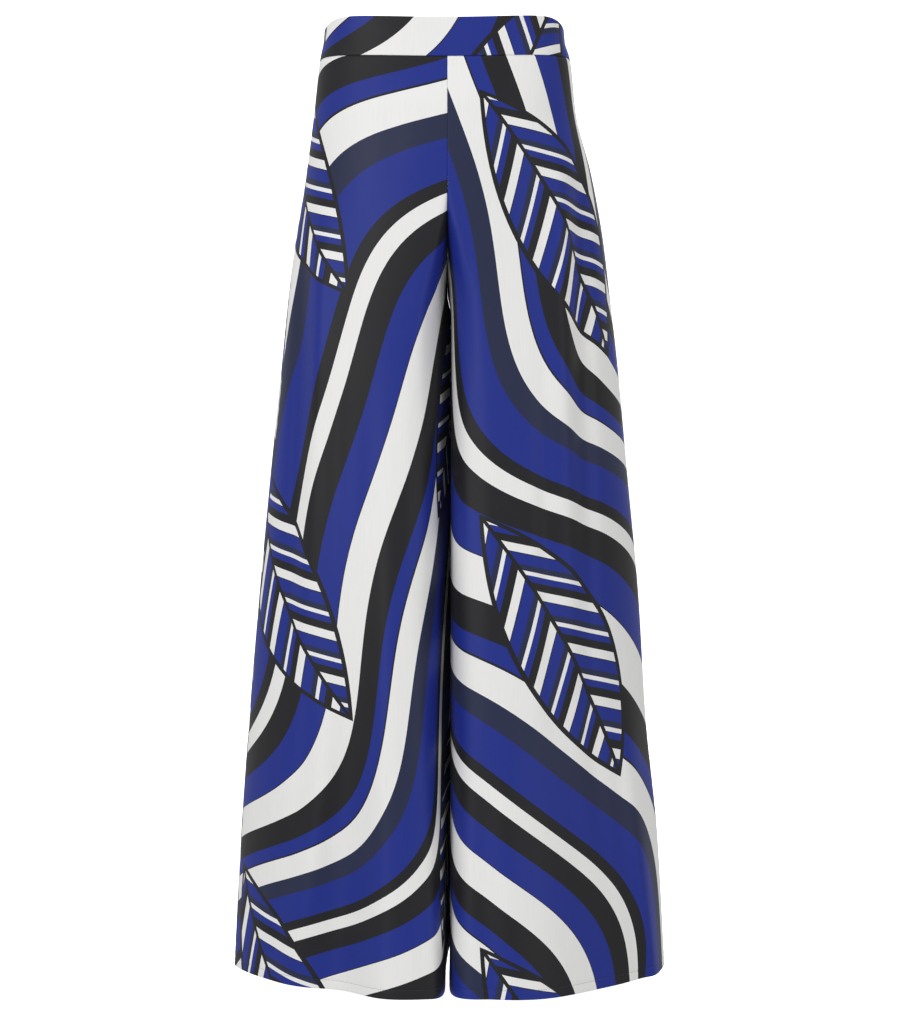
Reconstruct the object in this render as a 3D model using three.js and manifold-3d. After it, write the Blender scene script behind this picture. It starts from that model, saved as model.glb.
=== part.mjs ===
// Palazzo pants, high waisted and wide legged, in the hollow shape they have when worn. Millimetres.
//
// The wearer faces -Y and the wearer's left is +X. The origin is the middle of the waist opening, half
// way up the waistband. A drop is a distance below the waistband's top edge. Each leg is a stack of
// rings, one at each drop, and a ring is four superellipse quarters in the order of its angle: inner
// front, outer front, outer back, inner back. Above the fork the inner quarters have no size, and the
// outer halves of both legs make one ring round the waist and hips. Soft folds then move the rings'
// points forward or back, and every wall is those points and the same ones moved in.

import * as THREE from "three";
import { mergeVertices } from "three/addons/utils/BufferGeometryUtils.js";
import Module from "manifold-3d";

const { clamp, smoothstep } = THREE.MathUtils;
const QUARTER_TURN = Math.PI / 2;

// Driving dimensions
const OUTSEAM = 1080; // waistband's top edge to the front of the hem
const BAND_HEIGHT = 45;
const CLOTH = 1.2; // wall of a panel, with the seam allowances' bulk
const BAND_CLOTH = 2.0; // waistband: two layers and a stiffener
const HEM_CLOTH = 2.0; // two layers where the hem is turned up
const HEM_TURN = 10; // height of the turned hem
const SEAM_GAP = 0.3; // between cut pieces, along the cloth
const CROTCH_DROP = 300;
const CROTCH_BACK = 11; // how far the crotch point lies behind the side plane
const FRONT_FORK_DROP = 170; // where the front's centre seam begins to turn in between the legs
const BACK_FORK_DROP = 235;
const FORK_START_POWER = 3; // how slowly the J of the centre seam leaves the face
const FORK_END_POWER = 1.3; // and how sharply it meets the crotch point
const LEGS_APART_DROP = 400; // where each leg has its own full front and back
const SIDE_RISE = 7; // the band climbs this much from its middle to its sides
const RISE_ENDS_DROP = 240;
const CORNER_DIP = 11; // the band's top edge turns down at the very sides
const CORNER_POWER = 14;
const HEM_SIDE_LIFT = 10; // the hem hangs this much higher at the sides than at the front
const GAP_OPENS = 20; // the inseam's gap opens over this height above the crotch
const FACING_FADE = 0.35; // share of a quarter's depth over which its folds fade out
const INSEAM_BEND = 8; // both legs' inner faces bow this far to the wearer's left
const INSEAM_BEND_DEPTH = 50; // the bow's reach in depth and in width
const INSEAM_BEND_WIDTH = 70;
const BEND_GROWN_DROP = 340;
const BEND_FADES_DROP = 1020;

// The sizes round the body. Widths are from the centre line to each side, depths from the side plane to
// the front and the back. A side seam lies this far in front of the leg's widest point, or behind it
// below 0, as on the left, where the pants are turned back on the wearer.
const SECTIONS = [
  { drop: 0, right: 140.5, left: 133, front: 84, back: 84, rightSeam: 0, leftSeam: -27 },
  { drop: 20, right: 142, left: 134.6, front: 87, back: 88, rightSeam: 0.5, leftSeam: -27 },
  { drop: 45, right: 145.8, left: 140.2, front: 91, back: 95, rightSeam: 1, leftSeam: -27 },
  { drop: 105, right: 152.6, left: 147, front: 106, back: 117, rightSeam: 4, leftSeam: -25 },
  { drop: 170, right: 161.3, left: 164.5, front: 114, back: 131, rightSeam: 9, leftSeam: -21 },
  { drop: 240, right: 173, left: 177.6, front: 116, back: 136, rightSeam: 15, leftSeam: -16 },
  { drop: 310, right: 182, left: 186, front: 117, back: 134, rightSeam: 21, leftSeam: -12 },
  { drop: 380, right: 189, left: 194, front: 119, back: 131, rightSeam: 26, leftSeam: -10 },
  { drop: 515, right: 202.8, left: 206.2, front: 126, back: 130, rightSeam: 25, leftSeam: -8 },
  { drop: 650, right: 215.2, left: 218.5, front: 134, back: 133, rightSeam: 18, leftSeam: -8 },
  { drop: 790, right: 226.8, left: 226.8, front: 143, back: 138, rightSeam: 15, leftSeam: -8 },
  { drop: 930, right: 236.5, left: 240.5, front: 153, back: 145, rightSeam: 11, leftSeam: -8 },
  { drop: 1080, right: 244, left: 248.5, front: 165, back: 153, rightSeam: 8, leftSeam: -8 },
];

// How far from the centre line each leg is deepest at the front
const CRESTS = [
  { drop: 0, rightCrest: 46, leftCrest: 56 },
  { drop: 105, rightCrest: 46, leftCrest: 57 },
  { drop: 240, rightCrest: 46, leftCrest: 58 },
  { drop: 300, rightCrest: 46, leftCrest: 59 },
  { drop: 380, rightCrest: 46, leftCrest: 60 },
  { drop: 515, rightCrest: 46, leftCrest: 63 },
  { drop: 650, rightCrest: 47, leftCrest: 66 },
  { drop: 790, rightCrest: 47, leftCrest: 69 },
  { drop: 930, rightCrest: 48, leftCrest: 78 },
  { drop: 1080, rightCrest: 48, leftCrest: 90 },
];

// The powers of a ring's front quarters: 2 is an ellipse, more is squarer and less is straighter.
const ROUNDING = [
  { drop: 0, rightInner: 1.6, leftInner: 1.8, rightOuter: 2.8, leftOuter: 3.1 },
  { drop: 105, rightInner: 1.6, leftInner: 1.8, rightOuter: 2.5, leftOuter: 2.5 },
  { drop: 240, rightInner: 1.8, leftInner: 2.0, rightOuter: 2.3, leftOuter: 2.3 },
  { drop: 300, rightInner: 2.3, leftInner: 2.9, rightOuter: 2.2, leftOuter: 2.2 },
  { drop: 380, rightInner: 2.5, leftInner: 3.6, rightOuter: 2.1, leftOuter: 2.1 },
  { drop: 515, rightInner: 2.5, leftInner: 3.9, rightOuter: 2.0, leftOuter: 2.0 },
  { drop: 650, rightInner: 2.6, leftInner: 4.1, rightOuter: 1.9, leftOuter: 1.85 },
  { drop: 790, rightInner: 2.9, leftInner: 4.3, rightOuter: 1.8, leftOuter: 1.7 },
  { drop: 930, rightInner: 4, leftInner: 5.4, rightOuter: 1.65, leftOuter: 1.6 },
  { drop: 1080, rightInner: 6.5, leftInner: 7.5, rightOuter: 1.5, leftOuter: 1.5 },
];
const BACK_CREST = 72;
const INNER_BACK_POWER = 2.2;
const OUTER_BACK_POWER = 2.3;

// Where the legs part: half the space between them, and how far each inseam lies in front of the leg's
// innermost line.
const PARTING = [
  { drop: CROTCH_DROP, legGap: SEAM_GAP / 2, rightInseam: 0, leftInseam: 0 },
  { drop: 340, legGap: 1, rightInseam: 14, leftInseam: 4 },
  { drop: 430, legGap: 1.2, rightInseam: 36, leftInseam: 8 },
  { drop: 560, legGap: 1.4, rightInseam: 36, leftInseam: 8 },
  { drop: 750, legGap: 1.6, rightInseam: 18, leftInseam: 6 },
  { drop: OUTSEAM, legGap: 2, rightInseam: 4, leftInseam: 4 },
];

// The largest folds. Each runs down one face of one leg, from x at its first drop to hemX at the hem,
// and stands out, or falls in if its out is negative, most at its full drop.
const FOLDS = [
  { leg: "right", face: "front", x: 144, hemX: 199, first: 170, full: 330, last: 850, half: 17, out: 9 },
  { leg: "right", face: "front", x: 160, hemX: 215, first: 170, full: 330, last: 850, half: 12, out: -14 },
  { leg: "right", face: "front", x: 104, hemX: 120, first: 520, full: 1080, last: 1400, half: 34, out: -25 },
  { leg: "right", face: "front", x: 66, hemX: 74, first: 430, full: 760, last: 1400, half: 20, out: 6 },
  { leg: "left", face: "front", x: 129, hemX: 160, first: 100, full: 260, last: 880, half: 17, out: 9 },
  { leg: "left", face: "front", x: 147, hemX: 178, first: 100, full: 260, last: 880, half: 12, out: -13 },
  { leg: "left", face: "front", x: 200, hemX: 238, first: 660, full: 1080, last: 1400, half: 14, out: 22 },
  { leg: "left", face: "front", x: 120, hemX: 165, first: 560, full: 1080, last: 1500, half: 42, out: -11 },
  { leg: "right", face: "back", x: 40, hemX: 62, first: 330, full: 760, last: 1500, half: 24, out: 6 },
  { leg: "right", face: "back", x: 84, hemX: 112, first: 300, full: 700, last: 1500, half: 22, out: -8 },
  { leg: "right", face: "back", x: 128, hemX: 160, first: 210, full: 620, last: 1400, half: 22, out: 7 },
  { leg: "right", face: "back", x: 150, hemX: 196, first: 180, full: 480, last: 1200, half: 16, out: -7 },
  { leg: "left", face: "back", x: 46, hemX: 70, first: 340, full: 820, last: 1500, half: 26, out: 7 },
  { leg: "left", face: "back", x: 92, hemX: 122, first: 290, full: 640, last: 1500, half: 20, out: -8 },
  { leg: "left", face: "back", x: 134, hemX: 174, first: 220, full: 700, last: 1400, half: 22, out: 8 },
  { leg: "left", face: "back", x: 152, hemX: 208, first: 160, full: 420, last: 1100, half: 16, out: -7 },
];

// The mesh grid: drops of the rows, and columns across a panel
const BAND_ROWS = [0, 15, 30, BAND_HEIGHT];
const HIP_ROWS = [BAND_HEIGHT + SEAM_GAP, 75, 105, 135, 160];
const FORK_ROWS = [195, 220, 242, 262, 278, 290, 297.5, CROTCH_DROP];
const LEG_ROWS = [315, 340, 380, 430, 490, 560, 640, 720, 800, 880, 950, 1010, 1050];
const HEM_ROWS = [OUTSEAM - HEM_TURN - 0.5, OUTSEAM - HEM_TURN + 0.5, OUTSEAM];
const PANEL_ROWS = [...HIP_ROWS, ...FORK_ROWS, ...LEG_ROWS, ...HEM_ROWS];
const FRONT_COLUMNS = 30;
const BACK_COLUMNS = 24;
const COLUMN_STEP = 0.002; // the short steps that give a surface its normal
const DROP_STEP = 0.6;

// The concealed zip in the wearer's left side seam
const TAPE_HALF = 12;
const TAPE_THICK = 0.6;
const TAPE_CLEAR = 0.4; // from the cloth's inner face
const TAPE_ROWS = [2, 15, 30, BAND_HEIGHT + SEAM_GAP, 75, 105, 135, 160, 195];
const SLIDER_DROP = 9; // height of the pull's pivot
const SLIDER_CLEAR = 0.3;
const SLIDER = { length: 9, topWidth: 6, lowWidth: 4.6, thick: 0.8, corner: 1 };
const ARCH = { inner: 0.95, outer: 2.05, width: 1.6, sunk: 0.3 };
const TAB = { length: 17, thick: 1, topWidth: 4.4, lowRadius: 2.9, bar: 0.5 };
const WINDOW = { width: 2.4, end: 3.4 };

const SIDE_OF = { right: -1, left: 1 };
const FACE_OF = { front: -1, back: 1 };

/** A smooth curve through one column of a table against its drops, which never overshoots a row. */
function curveThrough(table, column) {
  const drops = table.map((row) => row.drop);
  const values = table.map((row) => row[column]);
  const rises = drops.slice(1).map((drop, i) => (values[i + 1] - values[i]) / (drop - drops[i]));
  const slopes = values.map((_, i) => {
    const before = rises[Math.max(i - 1, 0)];
    const after = rises[Math.min(i, rises.length - 1)];
    return before * after > 0 ? (2 * before * after) / (before + after) : 0;
  });
  return (drop) => {
    const at = clamp(drop, drops[0], drops.at(-1));
    const i = Math.max(drops.findLastIndex((start, k) => start <= at && k < drops.length - 1), 0);
    const span = drops[i + 1] - drops[i];
    const t = (at - drops[i]) / span;
    const u = 1 - t;
    const ends = u * u * (1 + 2 * t) * values[i] + t * t * (1 + 2 * u) * values[i + 1];
    return ends + span * t * u * (u * slopes[i] - t * slopes[i + 1]);
  };
}

/** Every column of a table as its curve. */
function curvesOf(table) {
  const columns = Object.keys(table[0]).filter((name) => name !== "drop");
  return Object.fromEntries(columns.map((name) => [name, curveThrough(table, name)]));
}

const size = Object.assign({}, ...[SECTIONS, CRESTS, ROUNDING, PARTING].map(curvesOf));

/** How far the centre seam has turned in from the face to the crotch point, on a J with eased ends. */
function forkShare(drop, forkDrop) {
  const t = clamp((drop - forkDrop) / (CROTCH_DROP - forkDrop), 0, 1);
  return 1 - (1 - t ** FORK_START_POWER) ** FORK_END_POWER;
}

/**
 * The sizes of one leg's ring at a drop. innerFront and innerBack are the y of its inner ends, and
 * frontShare and backShare the shares of a panel's columns that lie on its inner quarter.
 */
function ringAt(leg, drop) {
  const front = size.front(drop);
  const back = size.back(drop);
  const gap = size.legGap(drop);
  const width = size[leg](drop);
  const inseamY = CROTCH_BACK * (1 - smoothstep(drop, CROTCH_DROP, OUTSEAM));
  const frontOpen = smoothstep(drop, FRONT_FORK_DROP, LEGS_APART_DROP);
  const backOpen = smoothstep(drop, BACK_FORK_DROP, LEGS_APART_DROP);
  const frontCrest = gap + (size[`${leg}Crest`](drop) - gap) * frontOpen;
  const backCrest = gap + (BACK_CREST - gap) * backOpen;
  const frontInner = Math.hypot(frontCrest - gap, (front + inseamY) * frontOpen);
  const backInner = Math.hypot(backCrest - gap, (back - inseamY) * backOpen);
  return {
    front,
    back,
    gap,
    width,
    frontCrest,
    backCrest,
    frontShare: frontInner / (frontInner + Math.hypot(width - frontCrest, front)),
    backShare: backInner / (backInner + Math.hypot(width - backCrest, back)),
    innerFront: -front + (inseamY + front) * forkShare(drop, FRONT_FORK_DROP),
    innerBack: back + (inseamY - back) * forkShare(drop, BACK_FORK_DROP),
    innerPower: size[`${leg}Inner`](drop),
    outerPower: size[`${leg}Outer`](drop),
  };
}

/** A superellipse quarter: its shares across and out, at an angle from its across axis. */
function quarter(angle, power) {
  const across = Math.abs(Math.cos(angle));
  const out = Math.abs(Math.sin(angle));
  const reach = (across ** power + out ** power) ** (1 / power);
  return [across / reach, out / reach];
}

/** How far the folds move a point of a face outwards. */
function foldHeight(leg, face, x, drop, facing) {
  const ownFolds = FOLDS.filter((fold) => fold.leg === leg && fold.face === face);
  const total = ownFolds.reduce((sum, fold) => {
    const run = clamp((drop - fold.first) / (OUTSEAM - fold.first), 0, 1);
    const line = fold.x + (fold.hemX - fold.x) * run * run;
    const grown = smoothstep(drop, fold.first, fold.full) * (1 - smoothstep(drop, fold.full, fold.last));
    return sum + fold.out * grown * Math.exp(-(((x - line) / fold.half) ** 2));
  }, 0);
  return total * smoothstep(facing, 0, FACING_FADE);
}

/** How far both legs' inner faces bow sideways, a bell shape that keeps the legs apart. */
function inseamBend(x, y, drop) {
  const middle = CROTCH_BACK * (1 - smoothstep(drop, CROTCH_DROP, OUTSEAM));
  const rise = smoothstep(drop, CROTCH_DROP, BEND_GROWN_DROP);
  const fade = 1 - smoothstep(drop, BEND_FADES_DROP, OUTSEAM);
  const away = ((y - middle) / INSEAM_BEND_DEPTH) ** 2 + (x / INSEAM_BEND_WIDTH) ** 2;
  return INSEAM_BEND * rise * fade * Math.exp(-away);
}

/**
 * The cloth's outer point of a leg at an angle round its ring. The angle runs from 0 at the front's
 * inner end to a full turn at the back's, and past it to where an inseam lies forward.
 */
function clothPoint(leg, angle, drop) {
  const ring = ringAt(leg, drop);
  const turn = angle > 4 * QUARTER_TURN ? angle - 4 * QUARTER_TURN : angle;
  const face = turn < 2 * QUARTER_TURN ? "front" : "back";
  const [crest, inner, depth] =
    face === "front"
      ? [ring.frontCrest, ring.innerFront, ring.front]
      : [ring.backCrest, ring.innerBack, ring.back];
  const isInner = turn < QUARTER_TURN || turn > 3 * QUARTER_TURN;
  const backPower = isInner ? INNER_BACK_POWER : OUTER_BACK_POWER;
  const frontPower = isInner ? ring.innerPower : ring.outerPower;
  const [across, out] = quarter(turn, face === "front" ? frontPower : backPower);
  const x = isInner ? crest - (crest - ring.gap) * across : crest + (ring.width - crest) * across;
  const start = isInner ? inner : 0;
  const way = FACE_OF[face];
  const y = start + (way * depth - start) * out + way * foldHeight(leg, face, x, drop, out);
  const side = isInner ? 0 : across;
  const rise = SIDE_RISE * side ** 2 * (1 - smoothstep(drop, BAND_HEIGHT, RISE_ENDS_DROP));
  const dip = CORNER_DIP * side ** CORNER_POWER * (1 - smoothstep(drop, 0, BAND_HEIGHT));
  const lift = HEM_SIDE_LIFT * side ** 2 * (drop / OUTSEAM) ** 2;
  return new THREE.Vector3(
    SIDE_OF[leg] * x + inseamBend(x, y, drop),
    y,
    BAND_HEIGHT / 2 - drop + rise - dip + lift,
  );
}

/** The angle of a panel's column: u runs from 0 at its inner edge to 1 at its side seam. */
function columnAngle(leg, face, u, drop) {
  const ring = ringAt(leg, drop);
  const isFront = face === "front";
  const depth = isFront ? ring.front : ring.back;
  const inward = isFront ? ring.front + ring.innerFront : ring.back - ring.innerBack;
  const share = isFront ? ring.frontShare : ring.backShare;
  const halfGap = SEAM_GAP / 2;
  const seamForward = size[`${leg}Seam`](drop);
  const seamDepth = seamForward > 0 ? ring.front : ring.back;
  const seam = -seamForward / seamDepth + FACE_OF[face] * (halfGap / depth);
  const parted = smoothstep(drop, CROTCH_DROP - GAP_OPENS, CROTCH_DROP);
  const inseam = parted > 0 ? size[`${leg}Inseam`](drop) / (ring.front + ring.innerFront) : 0;
  const inseamGap = parted > 0 ? (parted * halfGap) / inward : 0;
  const start = isFront ? inseam + inseamGap : -inseam + inseamGap;
  const end = isFront ? 2 * QUARTER_TURN + seam : 2 * QUARTER_TURN - seam;
  const turned =
    u < share
      ? start + (u / share) * (QUARTER_TURN - start)
      : QUARTER_TURN + ((u - share) / (1 - share)) * (end - QUARTER_TURN);
  return isFront ? turned : 4 * QUARTER_TURN - turned;
}

/** A panel's outer point. */
function panelPoint(leg, face, u, drop) {
  return clothPoint(leg, columnAngle(leg, face, u, drop), drop);
}

/** A band's outer point: v runs from -1 at the wearer's right side to 1 at the left. */
function bandPoint(face, v, drop) {
  const point = panelPoint(v < 0 ? "right" : "left", face, Math.abs(v), drop);
  return v === 0 ? point.setX(0) : point;
}

/**
 * A surface's point(a, drop) moved in by a wall's thickness. The surface's normal there comes from short
 * steps inside the limits of a. outward is 1 if fall x along points out.
 */
function movedIn(point, a, drop, limits, outward, thickness) {
  const low = Math.max(a - COLUMN_STEP, limits[0]);
  const high = Math.min(a + COLUMN_STEP, limits[1]);
  const along = point(high, drop).sub(point(low, drop));
  const fall = point(a, drop + DROP_STEP).sub(point(a, Math.max(drop - DROP_STEP, 0)));
  const normal = fall.cross(along).multiplyScalar(outward).normalize();
  return point(a, drop).addScaledVector(normal, -thickness);
}

/** A closed wall between two grids of points, rows by columns. outward is 1 if fall x along points out. */
function wallGeometry(outer, inner, outward) {
  const rows = outer.length;
  const columns = outer[0].length;
  const positions = [...outer.flat(), ...inner.flat()].flatMap((point) => point.toArray());
  const index = [];
  const outside = (row, column) => row * columns + column;
  const inside = (row, column) => rows * columns + row * columns + column;
  const quad = (a, b, c, d) => {
    const corners = outward > 0 ? [a, b, c, d] : [a, d, c, b];
    index.push(corners[0], corners[1], corners[2], corners[0], corners[2], corners[3]);
  };
  for (let row = 0; row + 1 < rows; row += 1) {
    for (let column = 0; column + 1 < columns; column += 1) {
      const cells = [
        [row, column],
        [row + 1, column],
        [row + 1, column + 1],
        [row, column + 1],
      ];
      quad(...cells.map((cell) => outside(...cell)));
      quad(...cells.toReversed().map((cell) => inside(...cell)));
    }
  }
  const rim = [];
  for (let row = 0; row + 1 < rows; row += 1) rim.push([row, 0]);
  for (let column = 0; column + 1 < columns; column += 1) rim.push([rows - 1, column]);
  for (let row = rows - 1; row > 0; row -= 1) rim.push([row, columns - 1]);
  for (let column = columns - 1; column > 0; column -= 1) rim.push([0, column]);
  rim.forEach((cell, i) => {
    const next = rim[(i + 1) % rim.length];
    quad(outside(...next), outside(...cell), inside(...cell), inside(...next));
  });
  const geometry = new THREE.BufferGeometry();
  geometry.setAttribute("position", new THREE.Float32BufferAttribute(positions, 3));
  geometry.setIndex(index);
  return geometry;
}

/** Keeps a point of a leg on its own side of the centre seam. */
function keptAside(point, leg) {
  const side = SIDE_OF[leg];
  return point.setX(side * Math.max(side * point.x, SEAM_GAP / 2));
}

/** Evenly spaced values from low to high. */
function spread(low, high, count) {
  return Array.from({ length: count }, (_, i) => low + ((high - low) * i) / (count - 1));
}

/** The thickness of a panel's wall at a drop: double where the hem is turned up. */
function panelWall(drop) {
  return drop > OUTSEAM - HEM_TURN ? HEM_CLOTH : CLOTH;
}

/** One of the four cut panels, from the waistband's seam to the hem. */
function panelGeometry(leg, face) {
  const outward = -SIDE_OF[leg] * FACE_OF[face];
  const columns = spread(0, 1, face === "front" ? FRONT_COLUMNS : BACK_COLUMNS);
  const surface = (u, drop) => panelPoint(leg, face, u, drop);
  const outer = PANEL_ROWS.map((drop) => columns.map((u) => surface(u, drop)));
  const inner = PANEL_ROWS.map((drop) =>
    columns.map((u) => {
      const point = movedIn(surface, u, drop, [0, 1], outward, panelWall(drop));
      return drop > CROTCH_DROP ? point : keptAside(point, leg);
    }),
  );
  return wallGeometry(outer, inner, outward);
}

/** The front or back half of the waistband, from side seam to side seam. */
function bandGeometry(face) {
  const outward = -FACE_OF[face];
  const half = spread(0, 1, face === "front" ? FRONT_COLUMNS : BACK_COLUMNS);
  const columns = [...half.slice(1).toReversed().map((u) => -u), ...half];
  const surface = (v, drop) => bandPoint(face, v, drop);
  const outer = BAND_ROWS.map((drop) => columns.map((v) => surface(v, drop)));
  const inner = BAND_ROWS.map((drop) =>
    columns.map((v) => movedIn(surface, v, drop, [-1, 1], outward, BAND_CLOTH)),
  );
  return wallGeometry(outer, inner, outward);
}

/** One row of the zip tape's face: a panel's edge and its next columns, moved in by a depth. */
function tapeHalfRow(face, drop, depth) {
  const leg = "left";
  const outward = -SIDE_OF[leg] * FACE_OF[face];
  const step = 1 / ((face === "front" ? FRONT_COLUMNS : BACK_COLUMNS) - 1);
  const surface = (u, at) => panelPoint(leg, face, u, at);
  const [edge, second, third] = [1, 1 - step, 1 - 2 * step].map((u) =>
    movedIn(surface, u, drop, [0, 1], outward, depth),
  );
  const left = TAPE_HALF - edge.distanceTo(second);
  const end = second.clone().lerp(third, left / second.distanceTo(third));
  return [end, second, edge];
}

/** The zip's tape, sewn behind the side seam. */
function tapeGeometry() {
  const rowsAt = (extra) =>
    TAPE_ROWS.map((drop) => {
      const wall = drop <= BAND_HEIGHT + SEAM_GAP ? BAND_CLOTH : CLOTH;
      const depth = wall + TAPE_CLEAR + extra;
      return [...tapeHalfRow("front", drop, depth), ...tapeHalfRow("back", drop, depth).toReversed()];
    });
  return wallGeometry(rowsAt(0), rowsAt(TAPE_THICK), 1);
}

const MERGE_WITHIN = 1e-4;
const wasm = await Module();
wasm.setup();

/** A three.js geometry as a solid that can be joined and cut. */
function solidOf(geometry) {
  geometry.deleteAttribute("normal");
  geometry.deleteAttribute("uv");
  const merged = mergeVertices(geometry, MERGE_WITHIN);
  const mesh = new wasm.Mesh({
    numProp: 3,
    vertProperties: new Float32Array(merged.attributes.position.array),
    triVerts: new Uint32Array(merged.index.array),
  });
  return new wasm.Manifold(mesh);
}

/** The geometry of a joined or cut solid. */
function geometryOf(solid) {
  const mesh = solid.getMesh();
  const geometry = new THREE.BufferGeometry();
  geometry.setAttribute("position", new THREE.BufferAttribute(mesh.vertProperties, 3));
  geometry.setIndex(new THREE.BufferAttribute(mesh.triVerts, 1));
  return geometry;
}

/** A flat plate whose outline lies in Y and Z, centred on x. */
function plateGeometry(outline, thick, x) {
  const options = { depth: thick, bevelEnabled: false, curveSegments: 6 };
  const geometry = new THREE.ExtrudeGeometry(outline, options);
  return geometry.rotateX(QUARTER_TURN).rotateZ(QUARTER_TURN).translate(x - thick / 2, 0, 0);
}

const PIVOT_OUT = SLIDER_CLEAR + SLIDER.thick + ARCH.inner; // from the cloth to the pull's pivot

/** The slider's body with the arch that holds the pull. Its origin is the pull's pivot. */
function sliderGeometry() {
  const { length, topWidth, lowWidth, corner } = SLIDER;
  const body = new THREE.Shape();
  body.moveTo(-topWidth / 2, length / 2 - corner);
  body.absarc(-topWidth / 2 + corner, length / 2 - corner, corner, Math.PI, QUARTER_TURN, true);
  body.absarc(topWidth / 2 - corner, length / 2 - corner, corner, QUARTER_TURN, 0, true);
  body.absarc(lowWidth / 2 - corner, -length / 2 + corner, corner, 0, -QUARTER_TURN, true);
  body.absarc(-lowWidth / 2 + corner, -length / 2 + corner, corner, -QUARTER_TURN, -Math.PI, true);
  const plate = plateGeometry(body, SLIDER.thick, -ARCH.inner - SLIDER.thick / 2);
  const foot = -ARCH.inner - ARCH.sunk;
  const arch = new THREE.Shape();
  arch.moveTo(foot, -ARCH.outer);
  arch.absarc(0, 0, ARCH.outer, -QUARTER_TURN, QUARTER_TURN, false);
  arch.lineTo(foot, ARCH.outer);
  arch.lineTo(foot, ARCH.inner);
  arch.absarc(0, 0, ARCH.inner, QUARTER_TURN, -QUARTER_TURN, true);
  arch.lineTo(foot, -ARCH.inner);
  const options = { depth: ARCH.width, bevelEnabled: false, curveSegments: 8 };
  const loop = new THREE.ExtrudeGeometry(arch, options);
  loop.rotateX(QUARTER_TURN).translate(0, ARCH.width / 2, 0);
  return geometryOf(solidOf(plate).add(solidOf(loop)));
}

/** The pull tab, a drop-shaped plate with a window for the arch. Its origin is its pivot. */
function tabGeometry() {
  const outline = new THREE.Shape();
  outline.moveTo(-TAB.topWidth / 2, TAB.bar);
  outline.lineTo(-TAB.lowRadius, TAB.lowRadius - TAB.length);
  outline.absarc(0, TAB.lowRadius - TAB.length, TAB.lowRadius, Math.PI, 2 * Math.PI, false);
  outline.lineTo(TAB.topWidth / 2, TAB.bar);
  const window = new THREE.Path();
  window.moveTo(-WINDOW.width / 2, -TAB.bar);
  window.lineTo(WINDOW.width / 2, -TAB.bar);
  window.lineTo(WINDOW.width / 2, -WINDOW.end);
  window.lineTo(-WINDOW.width / 2, -WINDOW.end);
  outline.holes.push(window);
  return plateGeometry(outline, TAB.thick, 0);
}

/** The middle of the zip's side seam at a drop. */
function zipSeamPoint(drop) {
  return panelPoint("left", "front", 1, drop).lerp(panelPoint("left", "back", 1, drop), 0.5);
}

/** How far the cloth leans out from upright between two points of a seam, in radians. */
function slopeBetween(upper, lower, outward) {
  return Math.atan2(lower.clone().sub(upper).dot(outward), upper.z - lower.z);
}

/** A named mesh of the model. */
function piece(name, geometry, look) {
  const mesh = new THREE.Mesh(geometry, new THREE.MeshStandardMaterial(look));
  mesh.name = name;
  return mesh;
}

const CLOTH_LOOK = { roughness: 0.55, metalness: 0 };
const METAL_LOOK = { color: 0x23252f, roughness: 0.35, metalness: 0.6 };

const pants = new THREE.Group();
pants.add(
  piece("front_left", panelGeometry("left", "front"), { color: 0x2f3b84, ...CLOTH_LOOK }),
  piece("front_right", panelGeometry("right", "front"), { color: 0xe0dfdd, ...CLOTH_LOOK }),
  piece("back_left", panelGeometry("left", "back"), { color: 0xe0dfdd, ...CLOTH_LOOK }),
  piece("back_right", panelGeometry("right", "back"), { color: 0x2f3b84, ...CLOTH_LOOK }),
  piece("waistband_front", bandGeometry("front"), { color: 0x34384d, ...CLOTH_LOOK }),
  piece("waistband_back", bandGeometry("back"), { color: 0x34384d, ...CLOTH_LOOK }),
  piece("zip_tape", tapeGeometry(), { color: 0x1d2338, roughness: 0.8, metalness: 0 }),
);

// The slider lies square to the top of the band's side seam and faces straight out from it. The pull
// hangs from its arch and leans on the band, which flares out below.
const seat = zipSeamPoint(SLIDER_DROP);
const [frontEdge, backEdge] = ["front", "back"].map((face) => panelPoint("left", face, 1, SLIDER_DROP));
const acrossSeam = backEdge.sub(frontEdge);
const outOfSeam = new THREE.Vector3(acrossSeam.y, -acrossSeam.x, 0).normalize();
const sliderSlope = slopeBetween(zipSeamPoint(0), seat, outOfSeam);
const pullSlope = slopeBetween(seat, zipSeamPoint(BAND_HEIGHT), outOfSeam);
const slider = piece("zip_slider", sliderGeometry(), METAL_LOOK);
const pull = piece("zip_pull", tabGeometry(), METAL_LOOK);
slider.rotation.y = -sliderSlope;
pull.rotation.y = -pullSlope;
const zipHead = new THREE.Group();
zipHead.position.copy(seat).addScaledVector(outOfSeam, PIVOT_OUT * Math.cos(sliderSlope));
zipHead.position.z += PIVOT_OUT * Math.sin(sliderSlope);
zipHead.rotation.z = Math.atan2(outOfSeam.y, outOfSeam.x);
zipHead.add(slider, pull);
pants.add(zipHead);

export default pants;
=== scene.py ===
"""Palazzo pants in a printed silk twill, filled out as when worn. Metres, with drops in millimetres."""

import functools
import math

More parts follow.
